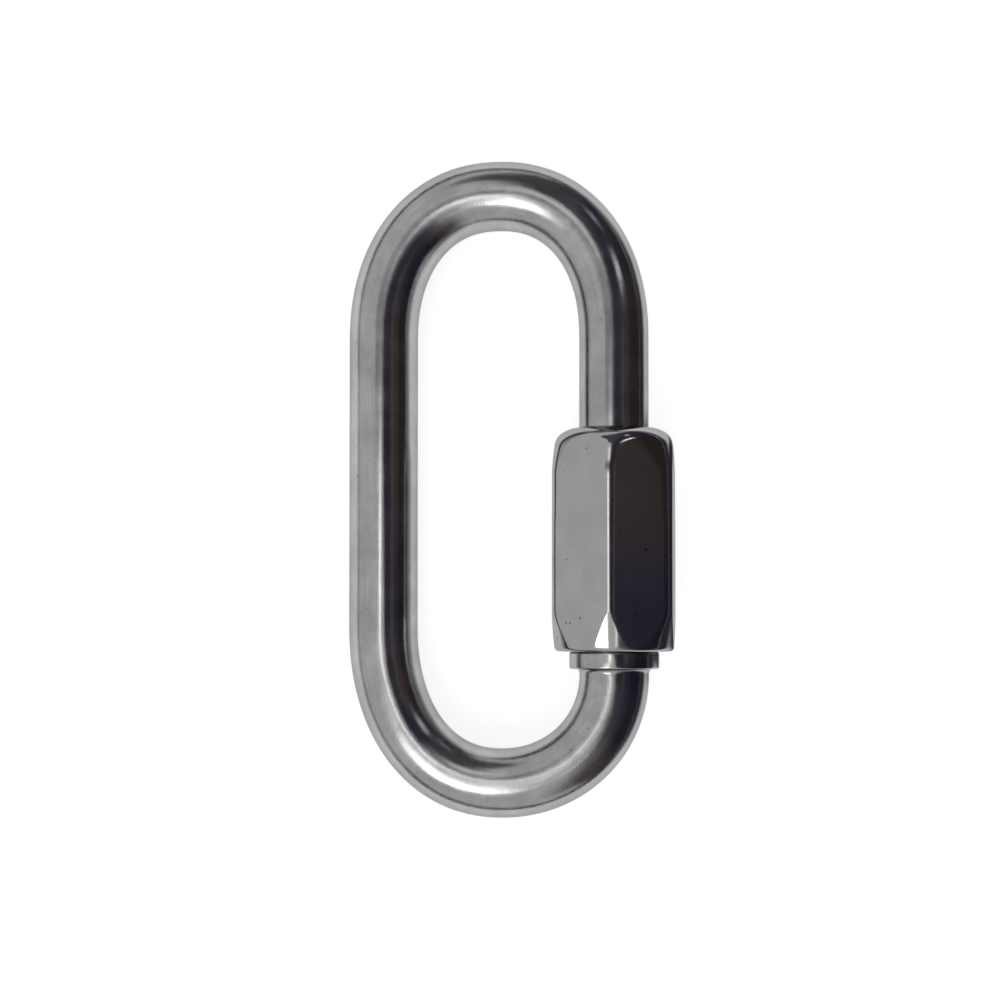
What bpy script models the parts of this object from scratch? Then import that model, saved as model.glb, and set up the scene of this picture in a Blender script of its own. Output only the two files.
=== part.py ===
"""Chain quick link: a loop bent from one round rod, closed by a long hexagonal sleeve nut.

Lengths are in metres and +Z is up. The link is drawn in its own flat frame, with its length
along Y, its two legs parallel to Y and the gate in the leg at +X. An empty then lays it on the
ground as it comes to rest: on the lower corner of the nut and on the plain leg.
"""
import math

import bmesh
import bpy

MM = 0.001

# The rod and the loop that it is bent to
ROD_DIAMETER = 6.0 * MM
LINK_LENGTH = 57.0 * MM  # over both crowns
LEG_SPACING = 20.2 * MM  # from one leg's centreline to the other's
TOP_BEND_RISE = 12.5 * MM  # from the end of the straight legs to the crown's centreline
LOWER_BEND_RISE = 13.7 * MM  # the same on the plain leg's side of the lower bend
LOWER_CROWN_SHIFT = 0.3 * MM  # the lower crown lies a little towards the gate
BEND_FULLNESS = 2.2  # exponent of each bend's superellipse, where 2 is a true ellipse
GATE_BEND_FULLNESS = 2.05  # the quarter bend under the collar is nearly elliptical

# The gate: a collar upset on the rod, a short threaded stub on it, and the free leg's thread
COLLAR_DIAMETER = 7.75 * MM
COLLAR_THICKNESS = 1.45 * MM
COLLAR_DROP = 14.15 * MM  # from the middle of the link down to the collar's upper face
COLLAR_EDGE = 0.18 * MM  # edges of the collar are broken by this much
COLLAR_FILLET = 0.4 * MM  # under the collar, where it runs into the rod
STUB_LENGTH = 2.2 * MM
GATE_GAP = 6.5 * MM  # clear opening between the stub and the free leg
THREAD_CORE_DIAMETER = 4.9 * MM
TIP_CHAMFER = 0.5 * MM  # on both threaded ends
THREAD_RUN_OUT = 0.25 * MM  # length over which the core grows to the full rod

# The sleeve nut
ACROSS_FLATS = 10.3 * MM
CORNER_RADIUS = 1.3 * MM  # on the six long edges, which are rounded and polished
THREAD_HOLD = 1.2 * MM  # free leg's thread that the closed nut still grips
END_CHAMFER_REACH = 2.75 * MM  # along a corner, from the end to where the chamfer runs out
END_CHAMFER_ANGLE = math.radians(16.0)  # between the chamfer and the nut's axis
TOP_END_RADIUS = 2.6 * MM
LOWER_END_RADIUS = 0.4 * MM
MOUTH_CHAMFER = 0.2 * MM  # at both mouths of the bore

# Clearances
SEAT_GAP = 0.3 * MM  # between the closed nut and the collar that it is tightened on
THREAD_GAP = 0.3 * MM  # around both threaded ends, inside the nut
ROD_GAP = 0.3 * MM  # around the plain rod, inside the counterbore
SHOULDER_ROOM = 0.1 * MM  # between the nut's inner shoulder and the run-out, fully open

# Facets
ROD_BEVEL_RESOLUTION = 12
BEND_STEPS = 12
ARC_STEPS = 4
FACE_RUN = 0.02 * MM  # a square face of the swept rod leans by this much along the axis
NUT_TURN_STEPS = 48
BORE_TURN_STEPS = 32

# Sizes that follow from those above
ROD_RADIUS = ROD_DIAMETER / 2
COLLAR_RADIUS = COLLAR_DIAMETER / 2
CORE_RADIUS = THREAD_CORE_DIAMETER / 2
HALF_SPACING = LEG_SPACING / 2
CROWN_Y = LINK_LENGTH / 2 - ROD_RADIUS
COLLAR_TOP_Y = -COLLAR_DROP
COLLAR_UNDERSIDE_Y = COLLAR_TOP_Y - COLLAR_THICKNESS
STUB_TIP_Y = COLLAR_TOP_Y + STUB_LENGTH
LEG_TIP_Y = STUB_TIP_Y + GATE_GAP
NUT_TRAVEL = STUB_LENGTH + GATE_GAP
NUT_THREAD_LENGTH = NUT_TRAVEL + THREAD_HOLD
LEG_CORE_LENGTH = SEAT_GAP + NUT_THREAD_LENGTH + SHOULDER_ROOM
LEG_THREAD_TOP_Y = LEG_TIP_Y + LEG_CORE_LENGTH + THREAD_RUN_OUT
NUT_BOTTOM_Y = COLLAR_TOP_Y + SEAT_GAP
NUT_LENGTH = LEG_THREAD_TOP_Y - NUT_BOTTOM_Y  # the closed nut hides the whole thread

# A corner of the hexagon is an arc about this point, so far from the nut's axis
CORNER_CENTRE = (ACROSS_FLATS / 2 - CORNER_RADIUS) / math.cos(math.radians(30))
CORNER_REACH = CORNER_CENTRE + CORNER_RADIUS

# Angle of the link's plane to the ground, when it lies on the plain leg and a nut corner
LEAN = math.atan2(CORNER_CENTRE, LEG_SPACING) - math.asin(
    (ROD_RADIUS - CORNER_RADIUS) / math.hypot(CORNER_CENTRE, LEG_SPACING)
)


def make_collection(name):
    collection = bpy.data.collections.new(name)
    bpy.context.scene.collection.children.link(collection)
    return collection


def polished_steel(name, colour, roughness):
    """Stainless steel: metallic, with the roughness of its polish."""
    material = bpy.data.materials.new(name)
    material.use_nodes = True
    shader = material.node_tree.nodes["Principled BSDF"]
    shader.inputs["Base Color"].default_value = (*colour, 1.0)
    shader.inputs["Metallic"].default_value = 1.0
    shader.inputs["Roughness"].default_value = roughness
    return material


def fillet(before, corner, after, radius, steps):
    """Points of an arc that rounds the corner between two straight lines of a profile."""
    def direction(point):
        dx, dy = point[0] - corner[0], point[1] - corner[1]
        length = math.hypot(dx, dy)
        return dx / length, dy / length

    (ax, ay), (bx, by) = direction(before), direction(after)
    half_angle = math.acos(ax * bx + ay * by) / 2
    setback = radius / math.tan(half_angle)
    middle_x, middle_y = ax + bx, ay + by
    to_centre = radius / math.sin(half_angle) / math.hypot(middle_x, middle_y)
    centre_x = corner[0] + middle_x * to_centre
    centre_y = corner[1] + middle_y * to_centre
    start = math.atan2(
        corner[1] + ay * setback - centre_y, corner[0] + ax * setback - centre_x
    )
    end = math.atan2(
        corner[1] + by * setback - centre_y, corner[0] + bx * setback - centre_x
    )
    sweep = math.remainder(end - start, math.tau)
    points = []
    for step in range(steps + 1):
        angle = start + sweep * step / steps
        points.append(
            (centre_x + radius * math.cos(angle), centre_y + radius * math.sin(angle))
        )
    return points


def quarter_bend(crown_x, leg_x, crown_y, rise, fullness):
    """Centreline from a crown to the end of a straight leg, on a quarter superellipse."""
    power = 2 / fullness
    half_width = leg_x - crown_x
    leg_end_y = crown_y - math.copysign(rise, crown_y)
    points = []
    for step in range(BEND_STEPS + 1):
        angle = math.pi / 2 * step / BEND_STEPS
        across = max(math.sin(angle), 0.0) ** power
        up = max(math.cos(angle), 0.0) ** power
        points.append(
            (crown_x + half_width * across, leg_end_y + (crown_y - leg_end_y) * up)
        )
    return points


def stub_and_collar_stations():
    """Height and radius down the gate leg, from the stub's tip to the start of the rod."""
    edge = COLLAR_EDGE
    stations = [
        (STUB_TIP_Y, CORE_RADIUS - TIP_CHAMFER),
        (STUB_TIP_Y - TIP_CHAMFER, CORE_RADIUS),
        (COLLAR_TOP_Y + FACE_RUN, CORE_RADIUS),
        (COLLAR_TOP_Y, COLLAR_RADIUS - edge),
        (COLLAR_TOP_Y - edge, COLLAR_RADIUS),
        (COLLAR_UNDERSIDE_Y + edge, COLLAR_RADIUS),
        (COLLAR_UNDERSIDE_Y, COLLAR_RADIUS - edge),
    ]
    for step in range(ARC_STEPS + 1):
        angle = math.pi / 2 * step / ARC_STEPS
        drop = FACE_RUN + COLLAR_FILLET * (1 - math.cos(angle))
        growth = COLLAR_FILLET * (1 - math.sin(angle))
        stations.append((COLLAR_UNDERSIDE_Y - drop, ROD_RADIUS + growth))
    return stations


def free_leg_stations():
    """Height and radius down the gate leg, from the plain rod to the free tip."""
    return [
        (LEG_THREAD_TOP_Y, ROD_RADIUS),
        (LEG_THREAD_TOP_Y - THREAD_RUN_OUT, CORE_RADIUS),
        (LEG_TIP_Y + TIP_CHAMFER, CORE_RADIUS),
        (LEG_TIP_Y, CORE_RADIUS - TIP_CHAMFER),
    ]


def rod_route():
    """Every station of the swept rod as (x, y, radius), from the stub's tip to the free tip."""
    route = [(HALF_SPACING, y, radius) for y, radius in stub_and_collar_stations()]
    rod_start_y = route[-1][1]
    gate_side = quarter_bend(
        LOWER_CROWN_SHIFT,
        HALF_SPACING,
        -CROWN_Y,
        CROWN_Y + rod_start_y,
        GATE_BEND_FULLNESS,
    )
    plain_side = quarter_bend(
        LOWER_CROWN_SHIFT, -HALF_SPACING, -CROWN_Y, LOWER_BEND_RISE, BEND_FULLNESS
    )
    top_left = quarter_bend(0.0, -HALF_SPACING, CROWN_Y, TOP_BEND_RISE, BEND_FULLNESS)
    top_right = quarter_bend(0.0, HALF_SPACING, CROWN_Y, TOP_BEND_RISE, BEND_FULLNESS)
    loop = gate_side[-2::-1] + plain_side[1:] + top_left[::-1] + top_right[1:]
    route += [(x, y, ROD_RADIUS) for x, y in loop]
    route += [(HALF_SPACING, y, radius) for y, radius in free_leg_stations()]
    return route


def build_link_body(collection, material, frame):
    """The bent rod with its collar and both threaded ends: a round section along the route."""
    route = rod_route()
    curve = bpy.data.curves.new("link_body", "CURVE")
    curve.dimensions = "3D"
    curve.bevel_depth = ROD_RADIUS
    curve.bevel_resolution = ROD_BEVEL_RESOLUTION
    curve.use_fill_caps = True
    spline = curve.splines.new("POLY")
    spline.points.add(len(route) - 1)
    for point, (x, y, radius) in zip(spline.points, route):
        point.co = (x, y, 0.0, 1.0)
        point.radius = radius / ROD_RADIUS
    swept = bpy.data.objects.new("swept_rod", curve)
    collection.objects.link(swept)
    bpy.context.view_layer.update()
    evaluated = swept.evaluated_get(bpy.context.evaluated_depsgraph_get())
    mesh = bpy.data.meshes.new_from_object(evaluated)
    bpy.data.objects.remove(swept)

    rod = bmesh.new()
    rod.from_mesh(mesh)
    bmesh.ops.remove_doubles(rod, verts=rod.verts, dist=FACE_RUN / 10)
    bmesh.ops.recalc_face_normals(rod, faces=rod.faces)
    rod.to_mesh(mesh)
    rod.free()
    mesh.shade_smooth()
    mesh.set_sharp_from_angle(angle=math.radians(35))
    mesh.materials.clear()
    mesh.materials.append(material)
    body = bpy.data.objects.new("link_body", mesh)
    body.parent = frame
    collection.objects.link(body)
    return body


def turned_solid(name, profile, steps, collection):
    """A solid of revolution about Z from (radius, height) points that run from top to bottom."""
    mesh = bpy.data.meshes.new(name)
    vertices = [(radius, 0.0, height) for radius, height in profile]
    edges = [(index, index + 1) for index in range(len(vertices) - 1)]
    mesh.from_pydata(vertices, edges, [])
    solid = bpy.data.objects.new(name, mesh)
    screw = solid.modifiers.new("turn", "SCREW")
    screw.steps = steps
    screw.render_steps = steps
    screw.use_merge_vertices = True
    screw.merge_threshold = 0.00001
    collection.objects.link(solid)
    return solid


def nut_end_envelope(cutters):
    """The turned blank whose chamfered, rounded ends trim the six corners of the nut."""
    blank_radius = CORNER_REACH + END_CHAMFER_REACH * math.tan(END_CHAMFER_ANGLE)
    reach = END_CHAMFER_REACH + (blank_radius - CORNER_REACH) / math.tan(
        END_CHAMFER_ANGLE
    )
    end_radius = CORNER_REACH - END_CHAMFER_REACH * math.tan(END_CHAMFER_ANGLE)
    top_corner = (end_radius, NUT_LENGTH)
    top_side = (blank_radius, NUT_LENGTH - reach)
    lower_side = (blank_radius, reach)
    lower_corner = (end_radius, 0.0)
    profile = [(0.0, NUT_LENGTH)]
    profile += fillet(
        (0.0, NUT_LENGTH), top_corner, top_side, TOP_END_RADIUS, 2 * ARC_STEPS
    )
    profile += [top_side, lower_side]
    profile += fillet(lower_side, lower_corner, (0.0, 0.0), LOWER_END_RADIUS, ARC_STEPS)
    profile += [(0.0, 0.0)]
    return turned_solid("nut_end_envelope", profile, NUT_TURN_STEPS, cutters)


def nut_bore_cutter(cutters):
    """The stepped bore: threaded up to the shoulder, then wide enough for the plain rod."""
    thread_radius = CORE_RADIUS + THREAD_GAP
    rod_bore_radius = ROD_RADIUS + ROD_GAP
    beyond = MOUTH_CHAMFER
    profile = [
        (0.0, NUT_LENGTH + beyond),
        (rod_bore_radius + MOUTH_CHAMFER + beyond, NUT_LENGTH + beyond),
        (rod_bore_radius, NUT_LENGTH - MOUTH_CHAMFER),
        (rod_bore_radius, NUT_THREAD_LENGTH),
        (thread_radius, NUT_THREAD_LENGTH),
        (thread_radius, MOUTH_CHAMFER),
        (thread_radius + MOUTH_CHAMFER + beyond, -beyond),
        (0.0, -beyond),
    ]
    return turned_solid("nut_bore", profile, BORE_TURN_STEPS, cutters)


def build_sleeve_nut(collection, cutters, material, frame):
    """The long hexagonal nut, with a corner towards the ground and flats towards the legs."""
    mesh = bpy.data.meshes.new("sleeve_nut")
    prism = bmesh.new()
    across_corners = ACROSS_FLATS / math.cos(math.radians(30))
    bmesh.ops.create_cone(
        prism,
        cap_ends=True,
        segments=6,
        radius1=across_corners / 2,
        radius2=across_corners / 2,
        depth=NUT_LENGTH,
    )
    bmesh.ops.translate(prism, verts=prism.verts, vec=(0.0, 0.0, NUT_LENGTH / 2))
    long_edges = [
        edge
        for edge in prism.edges
        if abs(edge.verts[0].co.z - edge.verts[1].co.z) > NUT_LENGTH / 2
    ]
    bmesh.ops.bevel(
        prism,
        geom=long_edges,
        offset=CORNER_RADIUS * math.tan(math.radians(30)),
        segments=ARC_STEPS,
        profile=0.5,
        affect="EDGES",
    )
    prism.to_mesh(mesh)
    prism.free()
    mesh.shade_smooth()
    mesh.set_sharp_from_angle(angle=math.radians(25))
    mesh.materials.append(material)
    nut = bpy.data.objects.new("sleeve_nut", mesh)
    nut.parent = frame
    nut.location = (HALF_SPACING, NUT_BOTTOM_Y, 0.0)
    nut.rotation_euler = (math.radians(-90), 0.0, 0.0)
    collection.objects.link(nut)

    for cutter, operation in (
        (nut_end_envelope(cutters), "INTERSECT"),
        (nut_bore_cutter(cutters), "DIFFERENCE"),
    ):
        cutter.parent = nut
        cutter.hide_render = True
        cutter.display_type = "WIRE"
        trim = nut.modifiers.new(cutter.name, "BOOLEAN")
        trim.operation = operation
        trim.solver = "EXACT"
        trim.object = cutter
    return nut


def lay_on_ground(collection):
    """The empty that carries the link: it leans the link's plane and sets the origin.

    The origin is on the ground, under the middle of the whole outline seen from above.
    """
    nut_half_width = CORNER_CENTRE * math.cos(math.radians(30) - LEAN) + CORNER_RADIUS
    frame = bpy.data.objects.new("lie", None)
    frame.rotation_euler = (0.0, -LEAN, 0.0)
    frame.location = (
        -(nut_half_width - ROD_RADIUS) / 2,
        0.0,
        ROD_RADIUS + HALF_SPACING * math.sin(LEAN),
    )
    collection.objects.link(frame)
    return frame


def main():
    for thing in list(bpy.data.objects):
        bpy.data.objects.remove(thing)
    collection = make_collection("quick_link")
    cutters = make_collection("cutters")
    frame = lay_on_ground(collection)
    rod_steel = polished_steel("rod_steel", (0.52, 0.53, 0.54), 0.16)
    nut_steel = polished_steel("nut_steel", (0.50, 0.51, 0.52), 0.12)
    build_link_body(collection, rod_steel, frame)
    build_sleeve_nut(collection, cutters, nut_steel, frame)


main()
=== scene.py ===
"""Looks of the chain quick link: polished stainless rod with its threads, and its sleeve nut.

Lengths are in metres. The link's own flat frame has u across its legs, v along its length and w
square to its plane. Both pieces are drawn there and then laid in the row frame as the CAD is.
"""
import math

import bpy
import numpy as np
from mathutils import Matrix, Vector


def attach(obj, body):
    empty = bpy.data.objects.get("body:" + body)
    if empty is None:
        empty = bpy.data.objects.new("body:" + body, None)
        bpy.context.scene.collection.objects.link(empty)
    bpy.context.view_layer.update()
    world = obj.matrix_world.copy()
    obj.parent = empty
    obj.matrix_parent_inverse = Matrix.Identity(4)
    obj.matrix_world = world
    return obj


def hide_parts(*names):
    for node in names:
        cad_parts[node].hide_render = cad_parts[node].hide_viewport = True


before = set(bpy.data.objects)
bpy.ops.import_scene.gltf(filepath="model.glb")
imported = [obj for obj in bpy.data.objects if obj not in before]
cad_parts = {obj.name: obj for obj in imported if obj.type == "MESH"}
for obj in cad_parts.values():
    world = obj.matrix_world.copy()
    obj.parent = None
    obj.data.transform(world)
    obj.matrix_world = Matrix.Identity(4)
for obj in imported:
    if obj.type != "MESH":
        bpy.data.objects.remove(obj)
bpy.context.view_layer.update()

MM = 0.001

# Sizes shared with the solids
ROD_RADIUS = 3.0 * MM
LINK_LENGTH = 57.0 * MM
HALF_SPACING = 10.1 * MM
TOP_BEND_RISE = 12.5 * MM
LOWER_BEND_RISE = 13.7 * MM
LOWER_CROWN_SHIFT = 0.3 * MM
BEND_FULLNESS = 2.2
GATE_BEND_FULLNESS = 2.05
COLLAR_RADIUS = 3.875 * MM
COLLAR_THICKNESS = 1.45 * MM
COLLAR_DROP = 14.15 * MM
COLLAR_EDGE_RADIUS = 0.18 * MM
COLLAR_FILLET = 0.4 * MM
STUB_LENGTH = 2.2 * MM
GATE_GAP = 6.5 * MM
ACROSS_FLATS = 10.3 * MM
CORNER_RADIUS = 1.3 * MM
NUT_TOP_V = 5.1 * MM
NUT_THREAD_TOP_V = -3.95 * MM  # inner shoulder, where the bore widens to clear the plain rod
LEG_THREAD_TOP_V = 4.85 * MM
NUT_TRAVEL = 8.7 * MM

# Finer sizes that only the looks have
COUNTERBORE_RADIUS = 3.12 * MM
MOUTH_CHAMFER = 0.15 * MM
SEAT_GAP = 0.03 * MM  # the tightened nut all but touches the collar
PITCH = NUT_TRAVEL / 9  # whole turns, so that the threads also mesh with the nut screwed up
THREAD_CREST = 2.93 * MM  # radius of the outer thread's crests
THREAD_ROOT = 2.38 * MM
THREAD_PLAY = 0.13 * MM  # between the outer and the inner thread
COUNTERSINK_DEPTH = 0.6 * MM
RUN_OUT = 0.3 * MM
TIP_DOME = 0.06 * MM
TOP_END_RADIUS = 2.3 * MM
LOWER_END_RADIUS = 0.45 * MM
TOP_CHAMFER = (2.75 * MM, 16.0)  # reach along a corner, and angle to the axis in degrees
LOWER_CHAMFER = (3.1 * MM, 11.5)
FLAT_BLENDS = (0.1 * MM, 0.6 * MM)  # how softly the lower and the upper end run into the flats

# Fineness of the meshes
ROD_COLUMNS = 96
ROD_STEP = 0.4 * MM
THREAD_STEP = PITCH / 16

# Studio and camera
SQUARE = ((-1, -1), (1, -1), (1, 1), (-1, 1))
FLOOR_HALF = 1.5
FLOOR_PALE = 0.8
FLOOR_LIFT = 0.66  # glow that brings the floor to white for the camera and the mirrored view
WORLD_LIGHT = 0.55
LAMP_ENERGY = 0.5
LAMP_SIZE = 0.35
LAMP_PLACE = (-120, 33, 0.7)  # azimuth, tilt, distance
TENT_RADIUS = 0.6
TENT_GREY = (0.735, 0.745, 0.75)
KEY_WHITE = (4.0, 3.97, 3.85)
STRIP_WHITE = (3.4, 3.4, 3.25)
GLOW_WHITE = (1.4, 1.38, 1.32)
BAR_GREY = (0.33, 0.33, 0.34)
FLAG_RADIUS = 0.21
FLAG_DARK = (0.045, 0.038, 0.058)
FLAG_BROWN = (0.14, 0.12, 0.115)
FLAG_WARM = (0.054, 0.041, 0.041)
FLAG_COLD = (0.026, 0.026, 0.045)
FLAG_SMOKE = (0.1, 0.097, 0.105)
EDGE_GREY = (0.05, 0.05, 0.055)
# Small lit cards: name, (azimuth, tilt, distance), half size, colour, strength, feather
CARDS = [
    ("window_card", (38, 46, 0.19), (0.008, 0.032), (0.95, 0.97, 1.0), 2.6, (0.8, 0.6)),
    ("glint_card", (58, 60, 0.2), (0.014, 0.014), (0.85, 0.88, 1.0), 1.4, (0.8, 0.8)),
]
EDGE_RADII = (0.055, 0.07)  # of the low dark edge, along X and along Y
EDGE_ROWS = ((0.0002, 0.2), (0.0008, 1.0), (0.007, 1.0), (0.009, 0.0))  # height, share
SHADE_HEIGHT = 0.0003
LENS = 81.1
CAMERA_PLACE = (-1.0 * MM, -12.07 * MM, 199.8 * MM)
CAMERA_TILT = math.radians(1.7)
CAMERA_SHIFT = (-0.0004, 0.0608)

CROWN_V = LINK_LENGTH / 2 - ROD_RADIUS
COLLAR_TOP_V = -COLLAR_DROP
COLLAR_UNDER_V = COLLAR_TOP_V - COLLAR_THICKNESS
STUB_TIP_V = COLLAR_TOP_V + STUB_LENGTH
LEG_TIP_V = STUB_TIP_V + GATE_GAP
NUT_BOTTOM_V = COLLAR_TOP_V + SEAT_GAP
CORNER_CENTRE = (ACROSS_FLATS / 2 - CORNER_RADIUS) / math.cos(math.radians(30))
CORNER_REACH = CORNER_CENTRE + CORNER_RADIUS
FLAT_HALF_ANGLE = math.atan((1 - 2 * CORNER_RADIUS / ACROSS_FLATS) * math.tan(math.radians(30)))
SECTOR = math.radians(60)
LEAN = math.atan2(CORNER_CENTRE, 2 * HALF_SPACING) - math.asin(
    (ROD_RADIUS - CORNER_RADIUS) / math.hypot(CORNER_CENTRE, 2 * HALF_SPACING)
)
NUT_HALF_WIDTH = CORNER_CENTRE * math.cos(math.radians(30) - LEAN) + CORNER_RADIUS
PLANE_X = (ROD_RADIUS - NUT_HALF_WIDTH) / 2
PLANE_Z = ROD_RADIUS + HALF_SPACING * math.sin(LEAN)


def lay_down(points):
    """Points (u, v, w) of the link's own frame, as (x, y, z) of the row frame."""
    u, v, w = points[..., 0], points[..., 1], points[..., 2]
    x = PLANE_X + u * math.cos(LEAN) - w * math.sin(LEAN)
    z = PLANE_Z + u * math.sin(LEAN) + w * math.cos(LEAN)
    return np.stack([x, v, z], axis=-1)


def smooth(value, start, end):
    """0 before start, 1 after end, and a smooth rise between them."""
    t = np.clip((value - start) / (end - start), 0.0, 1.0)
    return t * t * (3 - 2 * t)


def soft_min(a, b, blend):
    """The smaller of two lengths, rounded where they cross."""
    near = np.maximum(blend - np.abs(a - b), 0.0) / blend
    return np.minimum(a, b) - near * near * blend / 4


def resample(points, step):
    """Points evenly spread along a line through the given ones."""
    points = np.asarray(points)
    gaps = np.linalg.norm(np.diff(points, axis=0), axis=1)
    run = np.concatenate([[0.0], np.cumsum(gaps)])
    wanted = np.linspace(0.0, run[-1], max(2, int(round(run[-1] / step)) + 1))
    return np.stack([np.interp(wanted, run, column) for column in points.T], axis=1)


def arc(centre, radius, start, end, steps):
    """Points of a circular arc, its angles in degrees."""
    angles = np.radians(np.linspace(start, end, steps + 1))
    return [(centre[0] + radius * math.cos(a), centre[1] + radius * math.sin(a)) for a in angles]


def thread_radius(v, angle, crest, root):
    """Radius of a right-hand thread about the gate's axis, its flanks at 60 degrees."""
    turn = (v / PITCH + angle / math.tau) % 1.0
    from_crest = np.abs(turn - 0.5) * PITCH
    depth = np.clip((from_crest - PITCH / 16) / math.tan(math.radians(30)), 0.0, None)
    full = crest - root
    return crest - soft_min(depth, np.full_like(depth, full), full * 0.35)


def add_layer(mesh, label, values):
    """Keeps a number or a triple for each point of a mesh, for its material to read."""
    vector = values.shape[-1] == 3 and values.ndim > 1
    layer = mesh.attributes.new(label, "FLOAT_VECTOR" if vector else "FLOAT", "POINT")
    layer.data.foreach_set("vector" if vector else "value", values.reshape(-1))


def grid_mesh(name, rings, layers, close_rows):
    """A closed mesh from rings of points: the rows are joined to a torus, or capped."""
    rows, columns = rings.shape[:2]
    vertices = lay_down(rings).reshape(-1, 3)
    index = np.arange(rows * columns).reshape(rows, columns)
    across = np.roll(index, -1, axis=1)
    if close_rows:
        above, above_across = np.roll(index, -1, axis=0), np.roll(across, -1, axis=0)
    else:
        above, above_across = index[1:], across[1:]
        index, across = index[:-1], across[:-1]
    quads = np.stack([index, above, above_across, across], axis=-1).reshape(-1, 4)
    faces = quads.tolist()
    if not close_rows:
        faces.append(list(range(columns)))
        faces.append(list(range((rows - 1) * columns, rows * columns))[::-1])
    mesh = bpy.data.meshes.new(name)
    mesh.from_pydata(vertices, [], faces)
    for label, values in layers.items():
        add_layer(mesh, label, values)
    mesh.validate()
    mesh.update()
    mesh.shade_smooth()
    piece = bpy.data.objects.new(name, mesh)
    bpy.context.scene.collection.objects.link(piece)
    return piece


def quarter_bend(crown_u, leg_u, crown_v, rise, fullness):
    """Centreline from a crown to the end of a straight leg, on a quarter superellipse."""
    angle = np.linspace(0.0, math.pi / 2, 400)
    leg_end_v = crown_v - math.copysign(rise, crown_v)
    across = np.clip(np.sin(angle), 0.0, 1.0) ** (2 / fullness)
    up = np.clip(np.cos(angle), 0.0, 1.0) ** (2 / fullness)
    return np.stack(
        [crown_u + (leg_u - crown_u) * across, leg_end_v + (crown_v - leg_end_v) * up],
        axis=1,
    )


def rod_centreline(gate_start_v):
    """The bent part of the rod, from under the collar round to the free leg's thread."""
    gate = quarter_bend(
        LOWER_CROWN_SHIFT, HALF_SPACING, -CROWN_V, CROWN_V + gate_start_v, GATE_BEND_FULLNESS
    )
    plain = quarter_bend(
        LOWER_CROWN_SHIFT, -HALF_SPACING, -CROWN_V, LOWER_BEND_RISE, BEND_FULLNESS
    )
    top_left = quarter_bend(0.0, -HALF_SPACING, CROWN_V, TOP_BEND_RISE, BEND_FULLNESS)
    top_right = quarter_bend(0.0, HALF_SPACING, CROWN_V, TOP_BEND_RISE, BEND_FULLNESS)
    leg_end = [[HALF_SPACING, NUT_TOP_V + 0.1 * MM]]
    route = [gate[::-1], plain[1:], top_left[::-1], top_right[1:], leg_end]
    return resample(np.concatenate(route), ROD_STEP)


def collar_profile():
    """(v, radius) from the collar's upper face down to the plain rod, edges rounded."""
    edge = COLLAR_EDGE_RADIUS
    top = arc((COLLAR_TOP_V - edge, COLLAR_RADIUS - edge), edge, 0, 90, 5)
    under = arc((COLLAR_UNDER_V + edge, COLLAR_RADIUS - edge), edge, 90, 180, 5)
    fillet_centre = (COLLAR_UNDER_V - COLLAR_FILLET, ROD_RADIUS + COLLAR_FILLET)
    fillet = arc(fillet_centre, COLLAR_FILLET, 0, -90, 8)
    return top + under + fillet


def threaded_stub(angle):
    """Heights and rings of the stub's thread, from its chamfered tip to the collar."""
    v = np.arange(STUB_TIP_V, COLLAR_TOP_V + THREAD_STEP / 2, -THREAD_STEP)
    v = np.append(v, COLLAR_TOP_V)
    ring = thread_radius(v[:, None], angle, THREAD_CREST, THREAD_ROOT)
    relief = smooth(v, COLLAR_TOP_V + 0.25 * MM, COLLAR_TOP_V + 0.7 * MM)[:, None]
    ring = THREAD_ROOT + (ring - THREAD_ROOT) * relief
    chamfer = THREAD_ROOT - 0.1 * MM + (STUB_TIP_V - v)
    return v, np.minimum(ring, chamfer[:, None])


def threaded_leg(angle):
    """Heights and rings of the free leg's thread, from the plain rod to its chamfered tip."""
    v = np.arange(NUT_TOP_V, LEG_TIP_V - THREAD_STEP / 2, -THREAD_STEP)
    ring = thread_radius(v[:, None], angle, THREAD_CREST, THREAD_ROOT)
    run_out = smooth(v, LEG_THREAD_TOP_V - RUN_OUT, LEG_THREAD_TOP_V)[:, None]
    ring = ring + (ROD_RADIUS - ring) * run_out
    chamfer = THREAD_ROOT - 0.1 * MM + (v - LEG_TIP_V)
    return v, np.minimum(ring, chamfer[:, None])


def close_tips(centres, radii):
    """Adds shrinking rings at both ends of the rod, so that its tips are gently domed."""
    shares = (0.15, 0.45, 0.75, 0.93)
    first, last = [], []
    for share in shares:
        lift = TIP_DOME * (1 - share * share)
        first.append(((HALF_SPACING, centres[0][1] + lift), radii[0] * share))
        last.append(((HALF_SPACING, centres[-1][1] - lift), radii[-1] * share))
    centres = np.concatenate(
        [[place for place, ring in first], centres, [place for place, ring in last[::-1]]]
    )
    radii = np.concatenate(
        [[ring for place, ring in first], radii, [ring for place, ring in last[::-1]]]
    )
    return centres, radii


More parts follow.
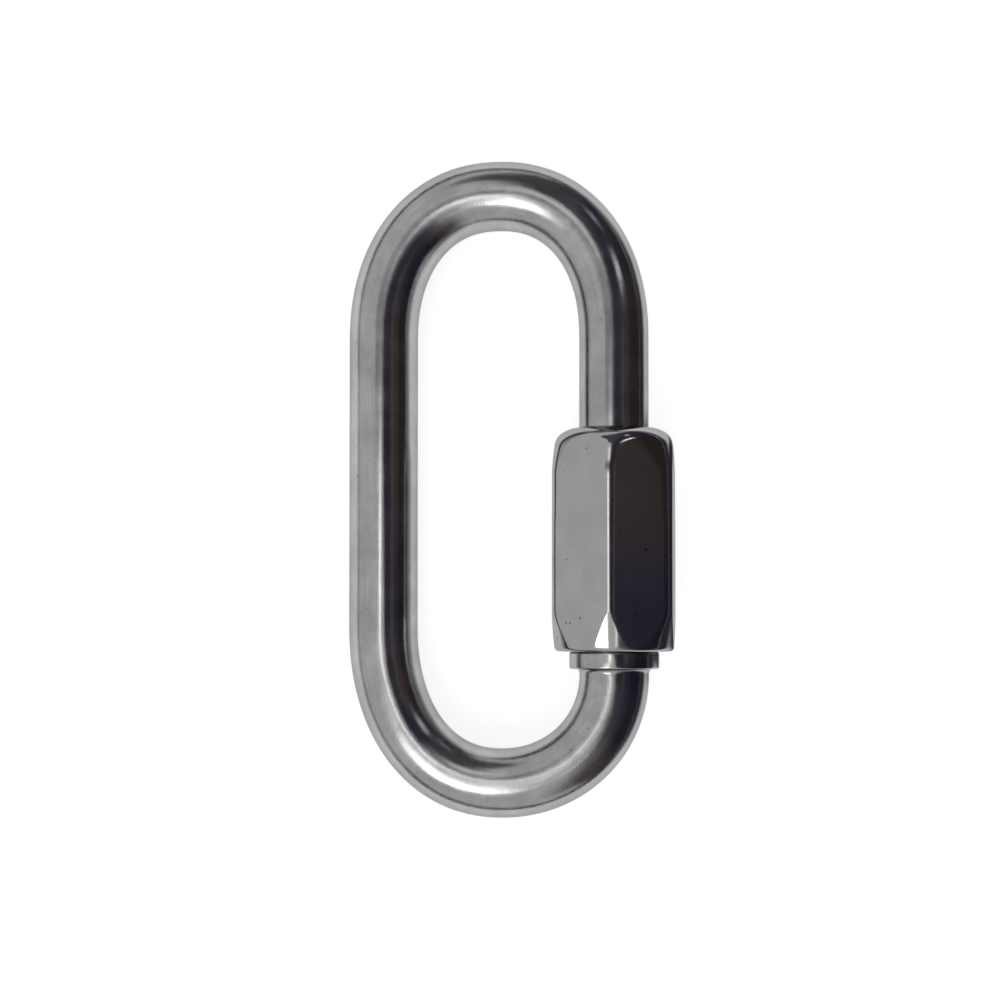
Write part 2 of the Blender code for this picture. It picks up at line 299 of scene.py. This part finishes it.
def build_rod():
    """The whole rod as one closed tube: stub, collar, loop and free leg with its thread."""
    angle = np.arange(ROD_COLUMNS) * math.tau / ROD_COLUMNS
    collar = collar_profile()
    centres, radii = [], []

    def add(u, v, ring):
        centres.append((u, v))
        radii.append(np.broadcast_to(ring, ROD_COLUMNS))

    for v, ring in zip(*threaded_stub(angle)):
        add(HALF_SPACING, v, ring)
    for v, radius in collar:
        add(HALF_SPACING, v, radius)
    for u, v in rod_centreline(collar[-1][0])[1:]:
        add(u, v, ROD_RADIUS)
    for v, ring in zip(*threaded_leg(angle)):
        add(HALF_SPACING, v, ring)
    centres, radii = close_tips(np.array(centres), np.array(radii))

    steps = np.gradient(centres, axis=0)
    steps[centres[:, 0] > HALF_SPACING - 1e-9] = (0.0, -1.0)
    tangent = steps / np.maximum(np.linalg.norm(steps, axis=1, keepdims=True), 1e-12)
    outward = np.stack([-tangent[:, 1], tangent[:, 0]], axis=1)
    run = np.concatenate([[0.0], np.cumsum(np.linalg.norm(np.diff(centres, axis=0), axis=1))])
    heading = np.unwrap(np.arctan2(tangent[:, 1], tangent[:, 0]))
    turning = np.abs(np.gradient(heading)) / np.maximum(np.gradient(run), 1e-5)
    kernel = np.hanning(15) / np.hanning(15).sum()
    turning = np.convolve(turning, kernel, mode="same")

    cos, sin = np.cos(angle), np.sin(angle)
    rings = np.empty((len(centres), ROD_COLUMNS, 3))
    rings[..., 0] = centres[:, None, 0] + radii * outward[:, None, 0] * cos
    rings[..., 1] = centres[:, None, 1] + radii * outward[:, None, 1] * cos
    rings[..., 2] = radii * sin
    unbent = np.empty_like(rings)
    unbent[..., 0] = run[:, None]
    unbent[..., 1] = radii * cos
    unbent[..., 2] = radii * sin
    bend = np.repeat(np.clip(turning * HALF_SPACING, 0.0, 1.0)[:, None], ROD_COLUMNS, axis=1)
    return grid_mesh("bent_rod", rings, {"unbent": unbent, "bend": bend}, close_rows=False)


def hexagon_radius(angle):
    """Radius of the nut's rounded hexagon, whose corners point along w."""
    off_flat = np.abs((angle + SECTOR / 2) % SECTOR - SECTOR / 2)
    flat = ACROSS_FLATS / 2 / np.cos(off_flat)
    off_corner = SECTOR / 2 - off_flat
    inside = CORNER_RADIUS**2 - (CORNER_CENTRE * np.sin(off_corner)) ** 2
    corner = CORNER_CENTRE * np.cos(off_corner) + np.sqrt(np.maximum(inside, 0.0))
    return np.where(off_flat < FLAT_HALF_ANGLE, flat, corner)


def nut_columns():
    """Angles of the nut's columns, close together at its rounded corners."""
    spread = math.radians(70)
    across_flat = np.sin(np.linspace(-1.0, 1.0, 31) * spread) / math.sin(spread)
    flat = np.arctan(across_flat * math.tan(FLAT_HALF_ANGLE))
    corner = np.linspace(FLAT_HALF_ANGLE, SECTOR - FLAT_HALF_ANGLE, 15)[1:-1]
    one_side = np.concatenate([flat, corner])
    return np.concatenate([one_side + SECTOR * side for side in range(6)])


def nut_outline():
    """(v, radius) of the turned ends that trim the hexagon, from the lower face to the mouth."""
    clear = CORNER_REACH + 0.3 * MM
    mouth = COUNTERBORE_RADIUS + MOUTH_CHAMFER

    def turned_end(chamfer, radius):
        """How far up the turned end reaches, and the radius of its rounding's centre."""
        slope = math.tan(math.radians(chamfer[1]))
        end_radius = CORNER_REACH - chamfer[0] * slope
        setback = radius * math.tan(math.radians(90 - chamfer[1]) / 2)
        return (clear - end_radius) / slope, end_radius - setback

    lower_reach, lower_centre = turned_end(LOWER_CHAMFER, LOWER_END_RADIUS)
    lower_spot = (NUT_BOTTOM_V + LOWER_END_RADIUS, lower_centre)
    lower = arc(lower_spot, LOWER_END_RADIUS, 180, 90 + LOWER_CHAMFER[1], 6)
    top_reach, top_centre = turned_end(TOP_CHAMFER, TOP_END_RADIUS)
    mouth_angle = math.degrees(math.asin((mouth - top_centre) / TOP_END_RADIUS))
    top_spot = (NUT_TOP_V - TOP_END_RADIUS, top_centre)
    top = arc(top_spot, TOP_END_RADIUS, 90 - TOP_CHAMFER[1], mouth_angle, 30)

    middle = [(NUT_BOTTOM_V + lower_reach, clear), (NUT_TOP_V - top_reach, clear)]
    parts = [
        np.array(lower),
        np.linspace(lower[-1], middle[0], 34)[1:],
        np.linspace(middle[0], middle[1], 22)[1:],
        np.linspace(middle[1], top[0], 26)[1:-1],
        np.array(top),
    ]
    return np.concatenate(parts)


def build_nut():
    """The sleeve nut as one closed ring: flats, turned ends, counterbore and inner thread."""
    angle = nut_columns()
    hexagon = hexagon_radius(angle)
    round_ring = np.ones_like(angle)
    rings = []
    for v, radius in nut_outline():
        blend = FLAT_BLENDS[0] + (FLAT_BLENDS[1] - FLAT_BLENDS[0]) * smooth(v, -8 * MM, 0.0)
        rings.append((v, soft_min(hexagon, radius * round_ring, blend)))
    top_v = rings[-1][0]
    rings.append((top_v - 0.01 * MM, (COUNTERBORE_RADIUS + MOUTH_CHAMFER * 0.9) * round_ring))
    rings.append((top_v - MOUTH_CHAMFER, COUNTERBORE_RADIUS * round_ring))
    for v in np.linspace(top_v - 2 * MOUTH_CHAMFER, NUT_THREAD_TOP_V + 0.05 * MM, 12):
        rings.append((v, COUNTERBORE_RADIUS * round_ring))
    crest, root = THREAD_CREST + THREAD_PLAY, THREAD_ROOT + THREAD_PLAY
    lead = root + COUNTERSINK_DEPTH
    for v in np.arange(NUT_THREAD_TOP_V, NUT_BOTTOM_V - THREAD_STEP / 2, -THREAD_STEP):
        radius = thread_radius(np.full_like(angle, v), angle, crest, root)
        countersink = max(lead - (NUT_THREAD_TOP_V - v), lead - (v - NUT_BOTTOM_V), root)
        rings.append((v, np.maximum(radius, countersink)))
    inner, outer = rings[-1][1].max(), rings[0][1].min()
    for share in (0.03, 0.5, 0.97):
        rings.append((NUT_BOTTOM_V, (inner + (outer - inner) * share) * round_ring))
    points = np.empty((len(rings), len(angle), 3))
    for row, (v, radius) in enumerate(rings):
        points[row, :, 0] = HALF_SPACING + radius * np.cos(angle)
        points[row, :, 1] = v
        points[row, :, 2] = radius * np.sin(angle)
    return grid_mesh("long_hex_nut", points, {}, close_rows=True)


class Graph:
    """A material's or world's node tree, with short calls for its nodes."""

    def __init__(self, tree):
        self.tree = tree

    def node(self, kind, settings=None, **inputs):
        made = self.tree.nodes.new(kind)
        for name, value in (settings or {}).items():
            setattr(made, name, value)
        for name, value in inputs.items():
            self.feed(made.inputs[name.replace("_", " ")], value)
        return made

    def feed(self, socket, value):
        if hasattr(value, "is_output"):
            self.tree.links.new(value, socket)
        else:
            socket.default_value = value

    def math(self, operation, a, b=0.0):
        made = self.node("ShaderNodeMath", {"operation": operation})
        self.feed(made.inputs[0], a)
        self.feed(made.inputs[1], b)
        return made.outputs[0]

    def rise(self, value, low, high, to_low=0.0, to_high=1.0):
        made = self.node("ShaderNodeMapRange", {"interpolation_type": "SMOOTHSTEP"})
        for socket, number in zip(made.inputs[:5], (value, low, high, to_low, to_high)):
            self.feed(socket, number)
        return made.outputs[0]

    def noise(self, vector, scale, detail=2.0, roughness=0.5):
        made = self.node(
            "ShaderNodeTexNoise",
            Vector=vector,
            Scale=scale,
            Detail=detail,
            Roughness=roughness,
        )
        return made.outputs[0]

    def stretched(self, vector, scales):
        made = self.node("ShaderNodeVectorMath", {"operation": "MULTIPLY"})
        self.feed(made.inputs[0], vector)
        made.inputs[1].default_value = scales
        return made.outputs[0]

    def mix(self, share, first, second):
        made = self.node("ShaderNodeMix", {"data_type": "RGBA"})
        self.feed(made.inputs["Factor"], share)
        self.feed(made.inputs[6], first)
        self.feed(made.inputs[7], second)
        return made.outputs[2]

    def bump(self, height, distance, normal=None):
        made = self.node("ShaderNodeBump", Height=height, Distance=distance, Strength=1.0)
        if normal is not None:
            self.feed(made.inputs["Normal"], normal)
        return made.outputs[0]

    def surface(self, shader):
        output = self.node("ShaderNodeOutputMaterial")
        self.tree.links.new(shader.outputs[0], output.inputs["Surface"])

    def over(self, share, below, above):
        """One shader over another, by the share of the upper one."""
        blend = self.node("ShaderNodeMixShader")
        self.feed(blend.inputs[0], share)
        self.tree.links.new(below.outputs[0], blend.inputs[1])
        self.tree.links.new(above.outputs[0], blend.inputs[2])
        return blend


def new_material(name):
    material = bpy.data.materials.new(name)
    material.use_nodes = True
    material.node_tree.nodes.clear()
    return material, Graph(material.node_tree)


def steel_shader(graph, colour, roughness, normal):
    """Bare steel, which mirrors a little less at a glancing view than a plain metal does."""
    shader = graph.node("ShaderNodeBsdfPrincipled", Metallic=1.0)
    graph.feed(shader.inputs["Specular Tint"], (0.6, 0.6, 0.6, 1))
    graph.feed(shader.inputs["Base Color"], colour)
    graph.feed(shader.inputs["Roughness"], roughness)
    graph.feed(shader.inputs["Normal"], normal)
    graph.surface(shader)


def rod_material():
    """Polished drawn rod: lengthwise draw lines on the legs, orange peel on the bends."""
    material, graph = new_material("rod_steel_polished")
    unbent = graph.node("ShaderNodeAttribute", {"attribute_name": "unbent"}).outputs["Vector"]
    bend = graph.node("ShaderNodeAttribute", {"attribute_name": "bend"}).outputs["Fac"]
    draw = graph.noise(graph.stretched(unbent, (150.0, 4200.0, 4200.0)), 1.0, 3.0, 0.6)
    wide_draw = graph.noise(graph.stretched(unbent, (45.0, 1300.0, 1300.0)), 1.0, 2.0)
    grain = graph.noise(unbent, 9000.0, 2.0, 0.65)
    peel = graph.noise(unbent, 7000.0, 2.0, 0.6)
    waves = graph.noise(unbent, 420.0, 1.0)
    specks = graph.noise(unbent, 2300.0, 1.0)
    mottle = graph.noise(unbent, 320.0, 4.0, 0.6)

    tone = graph.mix(
        graph.rise(mottle, 0.3, 0.7), (0.347, 0.349, 0.352, 1), (0.445, 0.445, 0.442, 1)
    )
    tone = graph.mix(graph.rise(draw, 0.5, 0.75, 0.0, 0.45), tone, (0.31, 0.31, 0.32, 1))
    tone = graph.mix(graph.rise(grain, 0.58, 0.75, 0.0, 0.3), tone, (0.25, 0.245, 0.25, 1))
    tone = graph.mix(graph.rise(specks, 0.76, 0.8, 0.0, 0.6), tone, (0.1, 0.095, 0.095, 1))

    roughness = graph.rise(mottle, 0.25, 0.75, 0.09, 0.17)
    roughness = graph.math("ADD", roughness, graph.math("MULTIPLY", bend, 0.02))

    normal = graph.bump(waves, 0.008 * MM)
    normal = graph.bump(wide_draw, 0.004 * MM, normal)
    normal = graph.bump(draw, 0.003 * MM, normal)
    normal = graph.bump(graph.math("MULTIPLY", peel, bend), 0.01 * MM, normal)
    normal = graph.bump(grain, 0.0046 * MM, normal)
    steel_shader(graph, tone, roughness, normal)
    return material


def nut_material():
    """Polished bar: smooth flats with a few small pits and faint turning marks."""
    material, graph = new_material("nut_steel_polished")
    place = graph.node("ShaderNodeTexCoord").outputs["Object"]
    pits = graph.noise(place, 1500.0, 1.0)
    mottle = graph.noise(place, 260.0, 4.0, 0.6)
    grain = graph.noise(place, 7000.0, 2.0, 0.65)
    waves = graph.noise(graph.stretched(place, (500.0, 160.0, 500.0)), 1.0, 1.0)

    tone = graph.mix(
        graph.rise(mottle, 0.3, 0.7), (0.378, 0.38, 0.382, 1), (0.42, 0.42, 0.418, 1)
    )
    tone = graph.mix(graph.rise(grain, 0.58, 0.75, 0.0, 0.2), tone, (0.28, 0.275, 0.28, 1))
    tone = graph.mix(graph.rise(pits, 0.745, 0.78, 0.0, 0.8), tone, (0.1, 0.1, 0.1, 1))
    roughness = graph.rise(mottle, 0.25, 0.75, 0.06, 0.12)
    normal = graph.bump(waves, 0.006 * MM)
    normal = graph.bump(grain, 0.0022 * MM, normal)
    pit_depth = graph.rise(pits, 0.73, 0.78, 1.0, 0.0)
    normal = graph.bump(pit_depth, 0.01 * MM, normal)
    steel_shader(graph, tone, roughness, normal)
    return material


def seen_directly(graph):
    """1 for the rays that show a background: from the camera, mirrored, or through glass."""
    path = graph.node("ShaderNodeLightPath").outputs
    either = graph.math("MAXIMUM", path["Is Camera Ray"], path["Is Glossy Ray"])
    return graph.math("MAXIMUM", either, path["Is Transmission Ray"])


def build_floor():
    """A plain pale floor that shows white and keeps the link's soft shadow."""
    mesh = bpy.data.meshes.new("studio_floor")
    corners = [(FLOOR_HALF * x, FLOOR_HALF * y, 0) for x, y in SQUARE]
    mesh.from_pydata(corners, [], [(0, 1, 2, 3)])
    floor = bpy.data.objects.new("studio_floor", mesh)
    bpy.context.scene.collection.objects.link(floor)
    material, graph = new_material("pale_floor")
    pale = graph.node("ShaderNodeBsdfDiffuse", Color=(FLOOR_PALE, FLOOR_PALE, FLOOR_PALE, 1))
    lift = graph.node("ShaderNodeEmission", Color=(1, 1, 1, 1))
    graph.feed(lift.inputs["Strength"], graph.math("MULTIPLY", seen_directly(graph), FLOOR_LIFT))
    both = graph.node("ShaderNodeAddShader")
    graph.tree.links.new(pale.outputs[0], both.inputs[0])
    graph.tree.links.new(lift.outputs[0], both.inputs[1])
    graph.surface(both)
    mesh.materials.append(material)


def build_world():
    """White behind everything, and a plain even light from all round."""
    world = bpy.data.worlds.new("studio_world")
    world.use_nodes = True
    world.node_tree.nodes.clear()
    graph = Graph(world.node_tree)
    light = graph.node("ShaderNodeBackground", Color=(1, 1, 1, 1), Strength=WORLD_LIGHT)
    white = graph.node("ShaderNodeBackground", Color=(1, 1, 1, 1), Strength=1.0)
    chosen = graph.over(seen_directly(graph), light, white)
    output = graph.node("ShaderNodeOutputWorld")
    graph.tree.links.new(chosen.outputs[0], output.inputs["Surface"])
    bpy.context.scene.world = world


def stage_mesh(name, vertices, faces, material):
    """A panel of the studio that only the polished metal sees."""
    mesh = bpy.data.meshes.new(name)
    mesh.from_pydata(vertices, [], faces)
    mesh.materials.append(material)
    panel = bpy.data.objects.new(name, mesh)
    bpy.context.scene.collection.objects.link(panel)
    panel.visible_camera = False
    panel.visible_diffuse = False
    panel.visible_shadow = False
    panel.visible_transmission = False
    return panel


def painted_material(name):
    """Glow in the painted colour, see-through by the painted share."""
    material, graph = new_material(name)
    paint = graph.node("ShaderNodeAttribute", {"attribute_name": "paint"}).outputs["Vector"]
    share = graph.node("ShaderNodeAttribute", {"attribute_name": "share"}).outputs["Fac"]
    clear = graph.node("ShaderNodeBsdfTransparent")
    glow = graph.node("ShaderNodeEmission", Color=paint)
    graph.surface(graph.over(share, clear, glow))
    return material


def painted_panel(name, vertices, faces, colours, shares):
    """A panel with a colour and a share of solidness for each of its points."""
    panel = stage_mesh(name, vertices, faces, painted_material(name))
    add_layer(panel.data, "paint", np.asarray(colours, dtype=float))
    add_layer(panel.data, "share", np.asarray(shares, dtype=float))


def from_table(azimuth, tilt, distance):
    """A place at an azimuth from +X and a tilt from straight up, in degrees."""
    a, t = math.radians(azimuth), math.radians(tilt)
    return (
        distance * math.sin(t) * math.cos(a),
        distance * math.sin(t) * math.sin(a),
        distance * math.cos(t),
    )


def build_dome(name, radius, last_tilt, paint):
    """A dome round the table, coloured by a function of where on it each point lies."""
    rows, columns = 90, 240
    tilt = np.linspace(0.3, last_tilt, rows)[:, None] * np.ones(columns)
    azimuth = np.ones((rows, 1)) * (np.arange(columns) * 360.0 / columns - 180.0)
    t, a = np.radians(tilt), np.radians(azimuth)
    spots = radius * np.stack([np.sin(t) * np.cos(a), np.sin(t) * np.sin(a), np.cos(t)], axis=-1)
    index = np.arange(rows * columns).reshape(rows, columns)
    across = np.roll(index, -1, axis=1)
    quads = np.stack([index[:-1], index[1:], across[1:], across[:-1]], axis=-1)
    faces = quads.reshape(-1, 4).tolist() + [list(range(columns))]
    painted_panel(name, spots.reshape(-1, 3), faces, *paint(tilt, azimuth))


def slopes(tilt, azimuth):
    """How far a direction leans along X and along Y for each unit that it climbs."""
    lean = np.tan(np.radians(np.minimum(tilt, 88.0)))
    return lean * np.cos(np.radians(azimuth)), lean * np.sin(np.radians(azimuth))


def window(value, low, high, soft):
    """1 between two limits, with soft edges outside them."""
    return smooth(value, low - soft, low) * smooth(value, high + soft, high)


def paint_tent(tilt, azimuth):
    """The grey tent with its bright opening at the front left."""
    x, y = slopes(tilt, azimuth)
    colour = np.ones(tilt.shape + (3,)) * TENT_GREY
    # The opening, cut off on a slant towards the link, and dimmer at its upper right
    key = window(x, -0.8, -0.27, 0.04) * smooth(y, -0.8, -0.7)
    key = key * smooth(0.75 * (x + 0.28) - 0.05 - y, 0.0, 0.05)
    key = key * (1 - 0.6 * smooth(x, -0.42, -0.32) * smooth(y, -0.46, -0.36))
    colour += key[..., None] * (np.array(KEY_WHITE) - colour)
    return colour, np.ones(tilt.shape)


def paint_flag(tilt, azimuth):
    """The dark side over the right half: the camera and whoever holds it."""
    x, y = slopes(tilt, azimuth)
    # How far left the dark side comes, for each slope along Y
    reach = np.interp(
        y,
        (-0.16, -0.06, 0.28, 0.34, 0.52, 0.68, 1.0, 1.3, 1.6),
        (-0.25, -0.12, -0.1, 0.0, 0.0, -0.24, -0.28, -0.5, -0.9),
    )
    share = smooth(x - reach, -0.03, 0.07)
    # How far down it comes, for each azimuth
    low_end = np.interp(azimuth, (-70, -50, 55, 75, 100), (75, 97, 97, 84, 72))
    share = share * smooth(tilt, low_end + 4, low_end - 3) * smooth(azimuth, -92, -62)
    share = share * smooth(azimuth, 128, 112)

    colour = np.ones(tilt.shape + (3,)) * FLAG_DARK
    side = window(tilt, 36, 110, 8)
    streak = np.exp(-(((tilt - 28.0) / 4.0) ** 2))
    fade = np.interp(tilt, (47.5, 53.5), (1.35, 0.7))[..., None]
    layers = [
        (side * window(azimuth, 1.0, 30, 3), FLAG_WARM),
        (side * window(azimuth, -40, -2, 3), FLAG_COLD),
        (smooth(azimuth, -40, -62) * smooth(tilt, 10, 22), FLAG_BROWN),
        (smooth(azimuth, 55, 80) * smooth(tilt, 12, 30), FLAG_SMOKE),
        (0.9 * streak * window(azimuth, -15, 20, 15), FLAG_BROWN),
        (window(x, -0.3, 0.08, 0.03) * window(y, -0.56, -0.43, 0.03) * (tilt < 60), KEY_WHITE),
    ]
    # Left of it: a shaded bar across the top, a bright strip and a soft glow behind
    beside = [
        (window(x, -0.5, -0.02, 0.05) * window(y, 0.15, 0.29, 0.02), BAR_GREY),
        (window(x, -0.235, -0.18, 0.05) * window(y, -0.1, 0.07, 0.06), STRIP_WHITE),
        (window(x, -0.22, -0.04, 0.04) * window(y, 0.32, 0.48, 0.05), GLOW_WHITE),
    ]
    for part, tone in layers:
        colour += part[..., None] * (np.array(tone) - colour)
    # Brighter near the zenith and darker towards the table, as the nut's dark flat shows
    colour *= 1 + (fade - 1) * (side * smooth(azimuth, 50, 35))[..., None]
    for part, tone in beside:
        part = part * (tilt < 60)
        colour += (part * (1 - 0.9 * share))[..., None] * (np.array(tone) - colour)
        share = np.maximum(share, part)
    return colour, share


def build_edge():
    """A dark low edge round the table, which draws the thin dark lines along the rod's sides."""
    columns = 180
    azimuth = np.arange(columns) * 360.0 / columns - 180.0
    a = np.radians(azimuth)
    strength = np.interp(
        azimuth,
        (-180, -150, -130, -50, -20, 20, 50, 100, 140, 165, 180),
        (0.35, 0.6, 1.0, 1.0, 0.6, 0.6, 0.8, 1.0, 1.0, 0.5, 0.35),
    )
    vertices, shares = [], []
    for height, share in EDGE_ROWS:
        for column in range(columns):
            x, y = EDGE_RADII[0] * math.cos(a[column]), EDGE_RADII[1] * math.sin(a[column])
            vertices.append((x, y, height))
            shares.append(share * strength[column])
    faces = []
    for row in range(len(EDGE_ROWS) - 1):
        for column in range(columns):
            after = (column + 1) % columns
            low, high = row * columns, (row + 1) * columns
            faces.append((low + column, low + after, high + after, high + column))
    painted_panel("dark_edge", vertices, faces, [EDGE_GREY] * len(vertices), shares)


def build_shade():
    """The dark side's shade on the table, on the right of the link and close to the nut."""
    side = 60
    x = np.linspace(0.0142, 0.15, side)[:, None] * np.ones(side)
    y = np.ones((side, 1)) * np.linspace(-0.09, 0.08, side)
    beside_nut = window(y, -0.0145, 0.005, 0.003) * smooth(x, 0.0145, 0.0165)
    beyond = smooth(x, 0.02, 0.032) * window(y, -0.05, 0.04, 0.03)
    shares = np.maximum(beside_nut, beyond)
    spots = np.stack([x, y, np.full_like(x, SHADE_HEIGHT)], axis=-1).reshape(-1, 3)
    index = np.arange(side * side).reshape(side, side)
    quads = np.stack([index[:-1, :-1], index[1:, :-1], index[1:, 1:], index[:-1, 1:]], axis=-1)
    faces = quads.reshape(-1, 4).tolist()
    painted_panel("table_shade", spots, faces, [FLAG_DARK] * len(spots), shares.reshape(-1))


def build_card(name, centre, half_size, colour, strength, feather):
    """A small glowing card that faces the link, its edges faded over a share of its half width."""
    material, graph = new_material(name)
    spot = graph.node("ShaderNodeTexCoord").outputs["Object"]
    parts = graph.node("ShaderNodeSeparateXYZ", Vector=spot).outputs
    share = 1.0
    for axis, soft in enumerate(feather):
        away = graph.math("ABSOLUTE", parts[axis])
        share = graph.math("MULTIPLY", share, graph.rise(away, 1.0 - soft, 1.0, 1.0, 0.0))
    clear = graph.node("ShaderNodeBsdfTransparent")
    glow = graph.node("ShaderNodeEmission", Color=(*colour, 1), Strength=strength)
    graph.surface(graph.over(share, clear, glow))
    corners = [(x, y, 0) for x, y in SQUARE]
    card = stage_mesh(name, corners, [(0, 1, 2, 3)], material)
    facing = Vector(centre).to_track_quat("Z", "Y").to_matrix().to_4x4()
    size = Matrix.Diagonal((half_size[0], half_size[1], 1.0, 1.0))
    card.matrix_world = Matrix.Translation(centre) @ facing @ size


def build_lamp():
    """One large soft lamp, low on the left, for the shadow on the floor."""
    data = bpy.data.lights.new("soft_lamp", "AREA")
    data.shape = "DISK"
    data.size = LAMP_SIZE
    data.energy = LAMP_ENERGY
    lamp = bpy.data.objects.new("soft_lamp", data)
    lamp.location = from_table(*LAMP_PLACE)
    lamp.rotation_euler = Vector(lamp.location).to_track_quat("Z", "Y").to_euler()
    lamp.visible_glossy = False
    bpy.context.scene.collection.objects.link(lamp)


def build_studio():
    build_world()
    build_floor()
    build_dome("grey_tent", TENT_RADIUS, 90.0, paint_tent)
    build_dome("dark_flag", FLAG_RADIUS, 104.0, paint_flag)
    build_edge()
    build_shade()
    build_lamp()
    for name, place, half_size, colour, strength, feather in CARDS:
        build_card(name, from_table(*place), half_size, colour, strength, feather)


def build_camera():
    """Above the table, a little below the link's middle, as the photograph is taken."""
    data = bpy.data.cameras.new("camera")
    data.sensor_width = 36.0
    data.lens = LENS
    data.clip_start = 0.01
    data.shift_x, data.shift_y = CAMERA_SHIFT
    camera = bpy.data.objects.new("camera", data)
    camera.location = CAMERA_PLACE
    camera.rotation_euler = (CAMERA_TILT, 0.0, 0.0)
    bpy.context.scene.collection.objects.link(camera)
    bpy.context.scene.camera = camera


def main():
    build_camera()
    build_studio()
    rod = build_rod()
    nut = build_nut()
    rod.data.materials.append(rod_material())
    nut.data.materials.append(nut_material())
    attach(rod, "link")
    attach(nut, "nut")
    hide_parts("link_body")
    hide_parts("sleeve_nut")
    bpy.context.scene.view_settings.view_transform = "Standard"


main()
